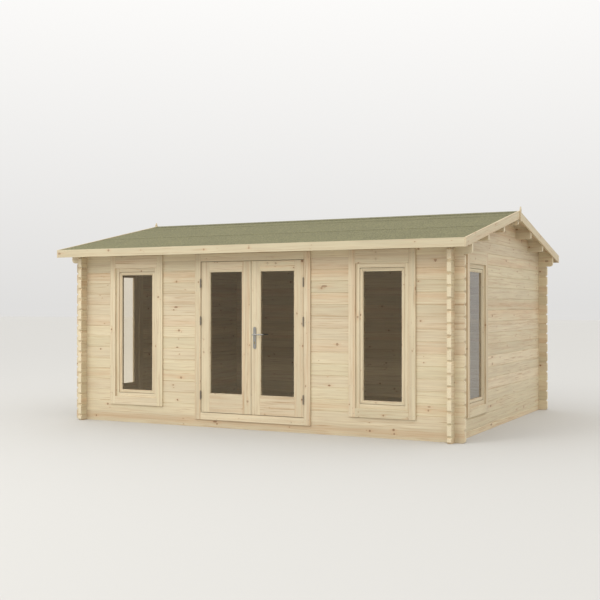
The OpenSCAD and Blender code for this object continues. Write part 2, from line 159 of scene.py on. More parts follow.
class Field:
    """A shader socket that can be added, multiplied and compared like a number."""

    def __init__(self, paint, socket):
        self.paint = paint
        self.socket = socket

    def __add__(self, other):
        return self.paint.math("ADD", self, other)

    def __sub__(self, other):
        return self.paint.math("SUBTRACT", self, other)

    def __rsub__(self, other):
        return self.paint.math("SUBTRACT", other, self)

    def __mul__(self, other):
        return self.paint.math("MULTIPLY", self, other)

    def __truediv__(self, other):
        return self.paint.math("DIVIDE", self, other)

    def __gt__(self, other):
        return self.paint.math("GREATER_THAN", self, other)

    __radd__ = __add__
    __rmul__ = __mul__

    def floor(self):
        return self.paint.math("FLOOR", self)

    def fract(self):
        return self.paint.math("FRACT", self)

    def abs(self):
        return self.paint.math("ABSOLUTE", self)

    def sqrt(self):
        return self.paint.math("SQRT", self)

    def exp(self):
        return self.paint.math("EXPONENT", self)

    def clamp(self):
        return self.smooth(0, 1, "LINEAR")

    def smooth(self, low, high, kind="SMOOTHSTEP"):
        """0 below low, 1 above high, and a smooth way between."""
        node = self.paint.node("ShaderNodeMapRange", interpolation_type=kind)
        self.paint.feed(node.inputs["Value"], self)
        self.paint.feed(node.inputs["From Min"], low)
        self.paint.feed(node.inputs["From Max"], high)
        return Field(self.paint, node.outputs["Result"])


class Paint:
    """One material and its nodes."""

    def __init__(self, name):
        self.material = bpy.data.materials.new(name)
        self.material.use_nodes = True
        self.tree = self.material.node_tree
        self.tree.nodes.clear()
        self.shader = self.node("ShaderNodeBsdfPrincipled")
        output = self.node("ShaderNodeOutputMaterial")
        self.tree.links.new(self.shader.outputs["BSDF"], output.inputs["Surface"])

    def node(self, kind, **settings):
        made = self.tree.nodes.new(kind)
        for key, value in settings.items():
            setattr(made, key, value)
        return made

    def feed(self, socket, value):
        if isinstance(value, Field):
            self.tree.links.new(value.socket, socket)
        elif isinstance(value, tuple) and len(socket.default_value) == 4:
            socket.default_value = (*value, 1)
        else:
            socket.default_value = value

    def set(self, **values):
        """Feeds the Principled shader: set(Base_Color=..., Roughness=...)."""
        for key, value in values.items():
            self.feed(self.shader.inputs[key.replace("_", " ")], value)

    def math(self, operation, *values):
        made = self.node("ShaderNodeMath", operation=operation)
        for socket, value in zip(made.inputs, values):
            self.feed(socket, value)
        return Field(self, made.outputs[0])

    def place(self, name=None):
        """x, y and z of the point, or the three numbers of a named attribute."""
        if name:
            source = self.node("ShaderNodeAttribute", attribute_name=name).outputs["Vector"]
        else:
            source = self.node("ShaderNodeTexCoord").outputs["Object"]
        return self.apart(source)

    def attribute(self, name):
        return Field(self, self.node("ShaderNodeAttribute", attribute_name=name).outputs["Fac"])

    def normal(self):
        return self.apart(self.node("ShaderNodeTexCoord").outputs["Normal"])

    def apart(self, socket):
        split = self.node("ShaderNodeSeparateXYZ")
        self.tree.links.new(socket, split.inputs[0])
        return [Field(self, out) for out in split.outputs]

    def vector(self, x, y, z=0.0):
        made = self.node("ShaderNodeCombineXYZ")
        for socket, value in zip(made.inputs, (x, y, z)):
            self.feed(socket, value)
        return Field(self, made.outputs[0])

    def noise(self, vector, scale=1.0, detail=2.0, roughness=0.5):
        made = self.node("ShaderNodeTexNoise")
        self.feed(made.inputs["Vector"], vector)
        for key, value in (("Scale", scale), ("Detail", detail), ("Roughness", roughness)):
            self.feed(made.inputs[key], value)
        return Field(self, made.outputs[0])

    def cells(self, vector, scale):
        """Distance to the nearest of many scattered points."""
        made = self.node("ShaderNodeTexVoronoi")
        self.feed(made.inputs["Vector"], vector)
        self.feed(made.inputs["Scale"], scale)
        return Field(self, made.outputs["Distance"])

    def dice(self, x, y=0.0, z=0.0):
        """Three random numbers, the same wherever x, y and z are the same."""
        made = self.node("ShaderNodeTexWhiteNoise", noise_dimensions="3D")
        self.feed(made.inputs["Vector"], self.vector(x, y, z))
        return self.apart(made.outputs["Color"])

    def mix(self, a, b, share):
        made = self.node("ShaderNodeMix", data_type="RGBA")
        self.feed(made.inputs["Factor"], share)
        self.feed(made.inputs[6], a)
        self.feed(made.inputs[7], b)
        return Field(self, made.outputs[2])

    def shade(self, colour, amount):
        """colour times amount, a number that changes over the surface."""
        made = self.node("ShaderNodeVectorMath", operation="SCALE")
        self.feed(made.inputs[0], colour)
        self.feed(made.inputs["Scale"], amount)
        return Field(self, made.outputs[0])

    def bump(self, height, distance, strength=1.0):
        """height is in units of distance, which is in metres."""
        made = self.node("ShaderNodeBump")
        self.feed(made.inputs["Height"], height)
        self.feed(made.inputs["Distance"], distance)
        self.feed(made.inputs["Strength"], strength)
        self.feed(self.shader.inputs["Normal"], Field(self, made.outputs[0]))


# ---------------------------------------------------------------- wood


def knots(paint, along, across, seed, cell_l, cell_h, chance):
    """A whorl of one or two knots in some cells, as branches leave a trunk together. A cell is
    cell_l long and cell_h high. Returns the knots' faces, their dark rims and the flame of red
    grain around them, each 0 to 1."""
    column, row = (along / cell_l).floor(), (across / cell_h).floor()
    whorl, at_u, spread = paint.dice(column, row, seed)
    ragged = 0.82 + 0.36 * paint.noise(paint.vector(along, across, seed), 85.0, 1.0)
    found = None
    for number, share in ((1, 1.0), (2, 0.45)):
        size, at_v, oval = paint.dice(column, row, seed + 17.3 * number)
        middle_u = (column + 0.2 + 0.6 * at_u) * cell_l + (spread - 0.5) * 0.09 * (number - 1)
        du = (along - middle_u) / (1 + oval.smooth(0.84, 1.0) * 1.8)
        dv = across - (row + 0.10 + 0.80 * at_v) * cell_h
        radius = 0.0032 + 0.0110 * size * size
        far = (du * du + dv * dv).sqrt() / radius * ragged
        flame_at = (du * du * 0.09 + dv * dv * 0.55) / (radius * radius)
        there = whorl > (1 - chance * share)
        made = [
            (1 - far.smooth(0.72, 1.08)) * there,
            (1 - (far - 0.96).abs().smooth(0.0, 0.26)) * there * oval.smooth(0.25, 0.6),
            (flame_at * -1.0).exp() * there,
        ]
        found = [paint.math("MAXIMUM", a, b) for a, b in zip(found, made)] if found else made
    return found


def growth_rings(paint, place, rise, wander, flame, seed, cell_h):
    """Late wood, 0 to 1, in rings around a pith that runs along the piece. Knots push them aside."""
    along, across, depth = place
    pith_rise, pith_depth, spacing = paint.dice(seed, 3.1)
    rise_from_pith = rise - cell_h * (0.1 + 0.8 * pith_rise) - wander * 0.05
    inward = depth - (pith_depth - 0.5) * 0.16
    ripple = paint.noise(paint.vector(along * 3.0, across * 22.0, depth * 22.0 + seed), 1.0, 2.0)
    distance = (rise_from_pith * rise_from_pith + inward * inward).sqrt() + ripple * 0.006
    ring = ((distance + flame * 0.007) / (0.0028 + 0.0030 * spacing)).fract()
    growth = paint.noise(paint.vector(distance * 60.0, seed, along * 0.2), 1.0, 1.0)
    return (ring.smooth(0.35, 0.93) - ring.smooth(0.93, 1.0)) * (0.35 + 0.9 * growth)


def pine(paint, place, seed, end=0.0, cell_l=0.40, cell_h=LOG_H, chance=0.56, warmth=0.0):
    """Growth rings, fibres, red heartwood, thin resin veins and knots. place is how far along,
    across and into the piece a point lies. end is 1 on sawn ends, painted paler as a highlight for
    the light they catch. chance is that of a whorl in a cell, and warmth adds red wood."""
    along, across, depth = place
    red, tone_dice, green = paint.dice(seed, 8.7)
    band_at, band_w, knot_tone = paint.dice(seed, 13.9)
    face, rim, flame = (
        found * (1 - end) for found in knots(paint, along, across, seed, cell_l, cell_h, chance)
    )
    rise = across - (across / cell_h).floor() * cell_h
    wander = paint.noise(paint.vector(along * 0.9, across * 2.0, seed * 5.3), 1.0, 2.0) - 0.5
    late = growth_rings(paint, place, rise, wander, flame, seed, cell_h)

    fibre = paint.noise(paint.vector(along * 22.0, across * 900.0, depth * 900.0), 1.0, 2.0)
    streak = paint.noise(
        paint.vector(along * 0.9, across * 38.0 + seed * 3.0, depth * 14.0), 1.0, 4.0, 0.68
    )
    vein = paint.noise(paint.vector(along * 2.6 + seed, across * 125.0, depth * 30.0), 1.0, 1.0)
    cloud = paint.noise(paint.vector(along * 1.7, across * 6.0, seed * 2.0), 1.0, 2.0)

    # Heartwood is one soft band along some pieces, and streaks elsewhere
    from_band = (rise + wander * 0.05) / cell_h - band_at
    band = (from_band * from_band * -14.0).exp() * red.smooth(0.52, 0.72) * (0.35 + 0.55 * band_w)
    pink = (1 - streak).smooth(0.50, 0.64) * (0.26 + 0.45 * red + warmth)
    pink = pink + band * streak.smooth(0.2, 0.6) + vein.smooth(0.48, 0.66) * (0.12 + 0.40 * red)

    colour = paint.mix(PINE_CREAM, PINE_GREEN, green)
    colour = paint.mix(colour, PINE_PINK, (pink + flame * 0.75 + warmth * 0.4).clamp())
    colour = paint.mix(colour, PINE_LATE, (late * 0.40 + (fibre - 0.5) * 0.25).clamp())
    colour = paint.mix(colour, PINE_VEIN, vein.smooth(0.60, 0.76) * cloud.smooth(0.36, 0.58) * 0.75)
    tone = 0.875 + 0.135 * tone_dice + (cloud - 0.5) * 0.20 + (fibre - 0.5) * 0.07
    colour = paint.shade(colour, tone + (streak - 0.5) * 0.34)
    # Painted highlight: sawn ends are mixed towards a paler colour for the light they catch
    colour = paint.mix(colour, paint.shade(PINE_END_PAINTED_LIGHT, 1 - late * 0.35), end * 0.75)
    colour = paint.mix(colour, KNOT_CORE, face * (0.58 + 0.38 * knot_tone))
    colour = paint.mix(colour, KNOT_RIM, rim * 0.55)
    paint.set(Base_Color=colour, Roughness=0.56 + late * 0.10 - face * 0.12)
    relief = late * 0.5 + fibre * 0.35 + face * 0.8 - rim * 0.7
    paint.bump(relief, 0.0005, 0.6)


def placed_pine(name, seed, axis="x", course=LOG_H, shift=0.0, origin=0.0, **kind):
    """Pine for a model node, from the place of each point. Its grain runs along axis, or up the
    slope. Logs are stacked every course from shift; course None is one board with its lower edge
    at shift. origin is where the depth starts."""
    paint = Paint(name)
    x, y, z = paint.place()
    if axis == "slope":
        along, across, depth = y.abs() / math.cos(SLOPE), z + y.abs() * math.tan(SLOPE), x
        facing = 0.0
    else:
        along, across, depth = {"x": (x, z, y), "y": (y, z, x), "z": (z, y, x)}[axis]
        # facing is 1 on faces across the grain, the sawn ends, which pine paints paler as a painted
        # highlight
        facing = paint.normal()["xyz".index(axis)].abs().smooth(0.85, 0.95)
    rise = across - shift
    number = (rise / course).floor() if course else 0.0 * x
    place = (along, rise, depth - origin)
    pine(paint, place, number * 7.0 + seed, facing, cell_h=course or BOARD_CELL, **kind)
    return paint.material


def board_pine(name, **kind):
    """Pine for the boards built here: each carries its own place along and across its grain."""
    paint = Paint(name)
    pine(paint, paint.place("grain"), paint.attribute("seed"), **kind)
    return paint.material


# ---------------------------------------------------------------- other materials


def felt_material():
    """Mineral felt: coloured grit on a dark sheet, mottled, a little worn in places."""
    paint = Paint("mineral_felt")
    x, y, z = paint.place()
    point = paint.vector(x, y, z)
    grit = paint.cells(point, 420.0)
    coarse = paint.noise(point, 160.0, 3.0, 0.65)
    mottle = paint.noise(point, 52.0, 2.0, 0.65)
    patch = paint.noise(paint.vector(x * 1.2, y * 2.6, z), 1.0, 4.0, 0.6)
    run = paint.noise(paint.vector(x * 14.0, y * 0.8, z), 1.0, 3.0, 0.6)
    tone = 0.78 + 0.20 * (patch - 0.5) + 0.14 * (run - 0.5) + 0.50 * (coarse - 0.42)
    colour = paint.mix(FELT_GREEN, FELT_DARK, grit.smooth(0.35, 0.75) * 0.7)
    colour = paint.mix(colour, FELT_DARK, (1 - mottle.smooth(0.34, 0.50)) * 0.62)
    colour = paint.mix(colour, FELT_PALE, mottle.smooth(0.50, 0.64) * 0.52)
    paint.set(Base_Color=paint.shade(colour, tone), Roughness=0.92)
    paint.bump(coarse * 0.7 + (1 - grit) * 0.5 + mottle * 0.8, 0.0016, 0.8)
    return paint.material


def glass_material():
    """Float glass with a slight bronze cast and the slightest waviness."""
    paint = Paint("clear_glass")
    x, y, z = paint.place()
    wave = paint.noise(paint.vector(x, y, z), 1.6, 1.0)
    paint.set(
        Base_Color=BRONZE_CAST,
        Roughness=0.0,
        IOR=1.5,
        Transmission_Weight=1.0,
        Specular_Tint=BRONZE_GLOSS,
    )
    paint.bump(wave, 0.0012, 0.35)
    return paint.material


def metal_material(name, colour, roughness, grain):
    """Metal with fine brushing along z, set by grain, and slight staining."""
    paint = Paint(name)
    x, y, z = paint.place()
    brush = paint.noise(paint.vector(x * 900.0, y * 900.0, z * grain), 1.0, 2.0)
    stain = paint.noise(paint.vector(x, y, z), 38.0, 3.0)
    paint.set(
        Base_Color=paint.shade(colour, 0.86 + 0.22 * stain + 0.06 * (brush - 0.5)),
        Metallic=1.0,
        Roughness=roughness + 0.14 * (brush - 0.5) + 0.16 * (stain - 0.5),
    )
    paint.bump(brush, 0.0001, 0.4)
    return paint.material


# ---------------------------------------------------------------- boards


class Solids:
    """Collects closed shapes into one mesh."""

    def __init__(self, name):
        self.name = name
        self.points, self.faces = [], []

    def rings(self, rings):
        """Skin over rings of as many points each, closed at both ends."""
        start, count = len(self.points), len(rings[0])
        for ring in rings:
            self.points += ring
        last = start + (len(rings) - 1) * count
        self.faces.append([start + i for i in range(count)][::-1])
        self.faces.append([last + i for i in range(count)])
        for k in range(start, last, count):
            for i in range(count):
                j = (i + 1) % count
                self.faces.append([k + i, k + j, k + count + j, k + count + i])

    def turned(self, matrix, profile, sides=24):
        """profile is a list of radius and height along the matrix's own Z, upwards."""
        turns = [2 * math.pi * i / sides for i in range(sides)]
        circles = [[(r * math.cos(t), r * math.sin(t), h) for t in turns] for r, h in profile]
        self.rings([[matrix @ Vector(point) for point in circle] for circle in circles])

    def swept(self, path, sizes, up, sides=20):
        """An oval carried along path. sizes holds how far it reaches sideways and upwards."""
        turns = [2 * math.pi * i / sides for i in range(sides)]
        rings = []
        for i, (point, (wide, tall)) in enumerate(zip(path, sizes)):
            way = path[min(i + 1, len(path) - 1)] - path[max(i - 1, 0)]
            aside = way.cross(up).normalized()
            rings.append([point + aside * wide * math.cos(t) + up * tall * math.sin(t) for t in turns])
        self.rings(rings)

    def plate(self, matrix, outline, low, high):
        """outline is drawn in u and v, anticlockwise, and runs from w = low to high."""
        rings = [[matrix @ Vector((u, v, w)) for u, v in outline] for w in (low, high)]
        self.rings(rings if matrix.determinant() > 0 else rings[::-1])

    def mesh(self):
        mesh = bpy.data.meshes.new(self.name)
        mesh.from_pydata(self.points, [], self.faces)
        return mesh

    def build(self, body, slot, material, replaced=(), bevel=0.0, segments=2):
        piece = bpy.data.objects.new(self.name, self.mesh())
        bpy.context.scene.collection.objects.link(piece)
        finish_piece(piece, body, material, replaced)
        if bevel:
            soften(piece, bevel, segments)
        else:
            piece.data.shade_smooth()
            piece.data.set_sharp_from_angle(angle=math.radians(35))


class Boards(Solids):
    """Collects boards into one mesh. Each point knows its place in its own board, as the named
    attribute grain, and its board's seed."""

    def __init__(self, name, seed):
        super().__init__(name)
        self.dice = random.Random(seed)
        self.grain, self.seeds = [], []

    def prism(self, matrix, outline, low, high, along):
        """outline is drawn in u and v, and runs from w = low to high. matrix takes (u, v, w) to its
        place, and along is the direction of the grain in (u, v, w)."""
        start = len(self.points)
        count = len(outline)
        along = Vector(along).normalized()
        flat = Vector((0, 0, 1)) if abs(along.z) < 0.5 else Vector((0, 1, 0))
        across = flat.cross(along)
        depth = along.cross(across)
        shift = Vector([self.dice.uniform(0, 9) for _ in range(2)] + [0.0])
        seed = self.dice.uniform(0, 400)
        middle = Vector((0, 0, (low + high) / 2))
        for w in (low, high):
            for u, v in outline:
                p = Vector((u, v, w))
                self.points.append(matrix @ p)
                q = p - middle
                self.grain += [q.dot(along) + shift.x, q.dot(across) + shift.y, q.dot(depth)]
                self.seeds.append(seed)
        area = sum(
            outline[i][0] * outline[(i + 1) % count][1] - outline[(i + 1) % count][0] * outline[i][1]
            for i in range(count)
        )
        flip = (area < 0) != (matrix.determinant() < 0)
        bottom = [start + i for i in range(count)]
        top = [start + count + i for i in range(count)]
        made = [bottom[::-1], top]
        for i in range(count):
            j = (i + 1) % count
            made.append([bottom[i], bottom[j], top[j], top[i]])
        self.faces += [face[::-1] for face in made] if flip else made

    def board(self, matrix, u0, u1, v0, v1, low, high, along):
        self.prism(matrix, [(u0, v0), (u1, v0), (u1, v1), (u0, v1)], low, high, along)

    def mesh(self):
        mesh = super().mesh()
        grain = mesh.attributes.new("grain", "FLOAT_VECTOR", "POINT")
        grain.data.foreach_set("vector", self.grain)
        seeds = mesh.attributes.new("seed", "FLOAT", "POINT")
        seeds.data.foreach_set("value", self.seeds)
        return mesh


def finish_piece(piece, body, material, replaced=()):
    piece.data.materials.append(material)
    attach(piece, body)
    if replaced:
        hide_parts(*replaced)


def soften(piece, width, segments=2):
    """Rounds the edges a little, as those of planed wood are."""
    bevel = piece.modifiers.new("arris", "BEVEL")
    bevel.width = width
    bevel.segments = segments
    bevel.limit_method = "ANGLE"
    bevel.angle_limit = math.radians(30)
    bevel.harden_normals = True
    for face in piece.data.polygons:
        face.use_smooth = True


def upright(x, y, turn=0.0):
    """Matrix for a drawing in u (right) and v (up) whose w runs inwards from the point x, y."""
    facing = Matrix(((1, 0, 0, 0), (0, 0, 1, 0), (0, 1, 0, 0), (0, 0, 0, 1)))
    return Matrix.Translation((x, y, 0)) @ Matrix.Rotation(turn, 4, "Z") @ facing


ALONG_U, ALONG_V, ALONG_W = (1, 0, 0), (0, 1, 0), (0, 0, 1)


def frame_boards(boards, matrix, half, low, high, side_w, low_h, high_h, near, far):
    """Four boards around an opening: the sides run the full height, the others fit between."""
    for way in (-1, 1):
        u0, u1 = sorted((way * half, way * (half + side_w)))
        boards.board(matrix, u0, u1, low - low_h, high + high_h, near, far, ALONG_V)
    if high_h:
        boards.board(matrix, -half, half, high, high + high_h, near, far, ALONG_U)
    if low_h:
        boards.board(matrix, -half, half, low - low_h, low, near, far, ALONG_U)


def mitred_beads(boards, matrix, half_u, low, high, width, near, far):
    """A bead around an opening, width wide towards the outside, mitred at its corners."""
    inner = [(-half_u, low), (half_u, low), (half_u, high), (-half_u, high)]
    outer = [
        (-half_u - width, low - width),
        (half_u + width, low - width),
        (half_u + width, high + width),
        (-half_u - width, high + width),
    ]
    for i in range(4):
        j = (i + 1) % 4
        along = ALONG_U if i % 2 == 0 else ALONG_V
        boards.prism(matrix, [inner[i], outer[i], outer[j], inner[j]], near, far, along)


# ---------------------------------------------------------------- windows


def window_place(name):
    """Matrix of a window and its opening: half width, lower and upper edge, from its frame's box."""
    low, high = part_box(name + "_window_frame")
    middle = (low + high) / 2
    if name.startswith("front"):
        matrix = upright(middle.x, low.y)
        half = (high.x - low.x) / 2
    else:
        side = 1 if middle.x > 0 else -1
        matrix = upright(high.x if side > 0 else low.x, middle.y, side * math.pi / 2)
        half = (high.y - low.y) / 2
    return matrix, half - FRAME_LAP, low.z + FRAME_LAP, high.z - FRAME_LAP


def window_casing(name, trim, seed):
    matrix, half, low, high = window_place(name)
    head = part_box(name + "_window_casing")[1].z - high
    casing = Boards(name + "_window_casing_boards", seed)
    frame_boards(casing, matrix, half, low, high, CASING_W, WINDOW_APRON, head, -CASING_T, 0)
    inside = (LOG_T, LOG_T + CASING_T)
    frame_boards(casing, matrix, half, low, high, CASING_W, WINDOW_APRON, CASING_W, *inside)
    casing.build("root", "trim_pine", trim, [name + "_window_casing"], ARRIS)


def window_frame(name, trim, seed):
    """The frame, the sash inside it, and the bead outside and rail inside that hold the pane."""
    matrix, half, low, high = window_place(name)
    half, low, high = half - FRAME_W, low + FRAME_W, high - FRAME_W
    joinery = Boards(name + "_window_frame_joinery", seed)
    width = FRAME_W + FRAME_LAP
    frame_boards(joinery, matrix, half, low, high, width, width, width, 0, LOG_T)
    pane_front, pane_back = sorted(
        (matrix.inverted() @ corner).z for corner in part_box(name + "_window_glass")
    )
    half, low, high = half - RAIL_W, low + RAIL_W, high - RAIL_W
    sash_w = RAIL_W - GLASS_BEAD - SASH_GAP
    for start, width, near, far in (
        (GLASS_BEAD, sash_w, RAIL_STEP, pane_front - PANE_GAP),
        (0, GLASS_BEAD, RAIL_STEP + BEAD_STEP, pane_front - PANE_GAP),
        (0, RAIL_W, pane_back + PANE_GAP, LOG_T - RAIL_STEP_INSIDE),
    ):
        mitred_beads(joinery, matrix, half + start, low - start, high + start, width, near, far)
    joinery.build("root", "trim_pine", trim, [name + "_window_frame"], ARRIS)


# ---------------------------------------------------------------- doors


def door_place():
    """Matrix of the doorway and its opening: half width, top of the sill and underside of the head."""
    low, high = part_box("door_frame")
    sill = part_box("door_casing")[0].z + DOOR_APRON
    return upright(0, low.y), high.x - DOOR_FRAME_W, sill, high.z - DOOR_FRAME_W


def door_casing(trim):
    matrix, half, sill, head = door_place()
    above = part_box("door_casing")[1].z - head
    casing = Boards("door_casing_boards", 61)
    frame_boards(casing, matrix, half, sill, head, CASING_W, DOOR_APRON, above, -CASING_T, 0)
    floor_top = LOG_H + FLOOR_BOARD_T
    inside = (LOG_T, LOG_T + CASING_T)
    frame_boards(casing, matrix, half, floor_top, head, CASING_W, 0, CASING_W, *inside)
    casing.build("root", "trim_pine", trim, ["door_casing"], ARRIS)


def door_frame(trim):
    """The frame, and the stops behind the leaves."""
    matrix, half, sill, head = door_place()
    low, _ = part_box("door_frame")
    joinery = Boards("door_frame_joinery", 62)
    widths = (DOOR_FRAME_W, sill - low.z, DOOR_FRAME_W)
    frame_boards(joinery, matrix, half, sill, head, *widths, 0, LOG_T)
    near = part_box("right_door_leaf")[1].y - low.y + STOP_GAP
    half, sill, head = half - STOP_W, sill + STOP_W, head - STOP_W
    frame_boards(joinery, matrix, half, sill, head, STOP_W, STOP_W, STOP_W, near, LOG_T)
    joinery.build("root", "trim_pine", trim, ["door_frame"], FINE_ARRIS)


def door_leaf(name, trim, seed):
    """Stiles and rails of one leaf. The edge that meets the other leaf slants back."""
    low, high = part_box(name + "_door_leaf")
    way = 1 if high.x > 0 else -1
    near, far = (low.x, high.x) if way > 0 else (-high.x, -low.x)
    matrix = upright(0, low.y) @ Matrix.Diagonal((way, 1, 1, 1))
    plan = Matrix.Diagonal((way, 1, 1, 1))
    boards = Boards(name + "_door_leaf_joinery", seed)
    meeting = [
        (near, low.y),
        (near + STILE_W, low.y),
        (near + STILE_W, high.y),
        (near + EDGE_SLANT, high.y),
    ]
    boards.prism(plan, meeting, low.z, high.z, ALONG_W)
    boards.board(matrix, far - STILE_W, far, low.z, high.z, 0, LEAF_T, ALONG_V)
    u0, u1 = near + STILE_W, far - STILE_W
    boards.board(matrix, u0, u1, high.z - TOP_RAIL_H, high.z, 0, LEAF_T, ALONG_U)
    boards.board(matrix, u0, u1, low.z, low.z + BOTTOM_RAIL_H, 0, LEAF_T, ALONG_U)
    boards.build(name + "_door", "trim_pine", trim, [name + "_door_leaf"], FINE_ARRIS)


def door_beads(name, trim, seed):
    """Glazing beads on both sides of a leaf's pane."""
    low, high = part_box(name + "_door_leaf")
    pane_low, pane_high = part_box(name + "_door_glass")
    matrix = upright((low.x + high.x) / 2, low.y)
    half = (high.x - low.x) / 2 - STILE_W - DOOR_BEAD
    bottom = low.z + BOTTOM_RAIL_H + DOOR_BEAD
    top = high.z - TOP_RAIL_H - DOOR_BEAD
    beads = Boards(name + "_door_glazing_beads", seed)
    for near, far in (
        (DOOR_BEAD_STEP, pane_low.y - low.y - PANE_GAP),
        (pane_high.y - low.y + PANE_GAP, LEAF_T - DOOR_BEAD_STEP),
    ):
        mitred_beads(beads, matrix, half, bottom, top, DOOR_BEAD, near, far)
    beads.build(name + "_door", "trim_pine", trim, (), BEAD_ARRIS, 3)


# ---------------------------------------------------------------- floor and roof


def floor(material):
    """Tongued boards along the cabin, two to a row. Their ends meet at shares of the length."""
    low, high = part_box("floor_boards")
    boards = Boards("floor_boards_laid", 71)
    flat = Matrix.Identity(4)
    rows = round((high.y - low.y) / FLOOR_BOARD_W)
    pitch = (high.y - low.y) / rows
    length = high.x - low.x
    shares = [0.25, 0.375, 0.75, 0.5, 0.625]
    for row in range(rows):
        cut = low.x + length * shares[row % 5]
        for x0, x1 in ((low.x, cut - BOARD_GAP / 2), (cut + BOARD_GAP / 2, high.x)):
            y0 = low.y + row * pitch
            boards.board(flat, x0, x1, y0, y0 + pitch - BOARD_GAP, low.z, high.z, ALONG_U)
    boards.build("root", "floor_pine", material, ["floor_boards"], FINE_ARRIS, 1)


def roof_slope(side, material):
    """Tongued boards from the ridge to the eaves, with V edges below. side is -1 at the front."""
    name = ("front" if side < 0 else "back") + "_roof_boards"
    low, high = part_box(name)
    eave = max(abs(low.y), abs(high.y))
    drop = eave * math.tan(SLOPE)
    rise = high.z - low.z - drop
    boards = Boards(name + "_laid", 81 + side)
    count = round((high.x - low.x) / ROOF_BOARD_W)
    pitch = (high.x - low.x) / count
    along = Vector((side * math.cos(SLOPE), -math.sin(SLOPE), 0))
    outline = [
        (0, high.z - rise),
        (side * eave, low.z),
        (side * eave, low.z + rise),
        (0, high.z),
    ]
    across = Matrix(((0, 0, 1, 0), (1, 0, 0, 0), (0, 1, 0, 0), (0, 0, 0, 1)))
    for i in range(count):
        x0 = low.x + i * pitch
        boards.prism(across, outline, x0, x0 + pitch - BOARD_GAP / 2, along)
    boards.build("root", "roof_pine", material, [name], ROOF_BOARD_ARRIS, 1)


def felt_base(side):
    """Function that gives the point of the felt's seat at x, s up the slope and lift over it; the
    slope's length; and its normal. side is -1 at the front and 1 at the back."""
    low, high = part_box(("front" if side < 0 else "back") + "_roof_felt")
    eave = max(abs(low.y), abs(high.y))
    normal = Vector((0, side * math.sin(SLOPE), math.cos(SLOPE)))

    def base(x, s, lift):
        y = side * (eave - s * math.cos(SLOPE))
        return Vector((x, y, low.z + s * math.sin(SLOPE))) + normal * lift

    return base, eave / math.cos(SLOPE), normal


def felt_strip(side, number, start, end, base, x0, x1):
    """Rows of points of one strip's lower face, from start to end up the slope. It lies FELT_LAP
    wide on the strip below, if number isn't 0, and comes down to the boards above that."""
    steps_s, steps_x = 12, 90
    settle = 0.05  # how soon it comes down
    rows = []
    for i in range(steps_s + 1):
        s = start + (end - start) * i / steps_s
        past = max(0.0, s - start - FELT_LAP)
        lift = FELT_T * math.exp(-past / settle) if number else 0
        row = []
        for k in range(steps_x + 1):
            x = x0 + (x1 - x0) * k / steps_x
            wave = 0.0007 * noise.noise(Vector((x * 1.3, s * 2.0 + number * 7, side)))
            row.append(base(x, s, lift + abs(wave)))
        rows.append(row)
    return rows


def felt_slope(side, material):
    """Strips of felt from the eaves up, each over the one below."""
    name = ("front" if side < 0 else "back") + "_roof_felt"
    low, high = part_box(name)
    base, length, normal = felt_base(side)
    verts, faces = [], []
    for number in range(3):
        start = number * (FELT_W - FELT_LAP)
        end = min(start + FELT_W, length)
        rows = felt_strip(side, number, start, end, base, low.x, high.x)
        add_sheet(verts, faces, rows, normal * FELT_T, side > 0)
    mesh = bpy.data.meshes.new(name + "_strips")
    mesh.from_pydata(verts, [], faces)
    piece = bpy.data.objects.new(mesh.name, mesh)
    bpy.context.scene.collection.objects.link(piece)
    finish_piece(piece, "root", material, [name])


def ridge_cap(material):
    """A strip of felt bent over the ridge, over the top edges of both slopes."""
    low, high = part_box("front_roof_felt")
    front, length, normal = felt_base(-1)
    back, _, back_normal = felt_base(1)
    cap = Solids("ridge_cap")
    rings = []
    steps = 120
    for k in range(steps + 1):
        x = low.x + (high.x - low.x) * k / steps
        ripple = 0.0006 * abs(noise.noise(Vector((x * 2.1, 3.0, 0))))
        seat = 2 * FELT_T + ripple + 0.0002
        lower = [base(x, length - CAP_W, seat) for base in (front, back)]
        ridge = front(x, length, 0)
        ridge.y = 0
        ridge.z += seat / math.cos(SLOPE)
        upper = [lower[0] + normal * FELT_T, lower[1] + back_normal * FELT_T]
        rings.append([lower[0], ridge, lower[1], upper[1], ridge + Vector((0, 0, FELT_T)), upper[0]])
    cap.rings([ring[::-1] for ring in rings])
    cap.build("root", "roof_felt", material)


def felt_nails(material):
    """Large flat nails along the lower edge of each strip and of the ridge cap."""
    places = []
    inset, ripple = 0.025, 0.0003
    low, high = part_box("front_roof_felt")
    count = round((high.x - low.x) / FELT_NAIL_STEP)
    for side in (-1, 1):
        base, length, normal = felt_base(side)
        tilt = normal.to_track_quat("Z", "Y").to_matrix().to_4x4()
        rows = [(0.020, FELT_T)]
        rows += [(step * (FELT_W - FELT_LAP) + inset, 2 * FELT_T) for step in (1, 2)]
        rows.append((length - CAP_W + inset, 3 * FELT_T))
        for s, lift in rows:
            for k in range(count):
                x = low.x + (k + 0.5) * (high.x - low.x) / count
                places.append(Matrix.Translation(base(x, s, lift + ripple)) @ tilt)
    nail_heads("felt_nails", places, material, FELT_NAIL_R)


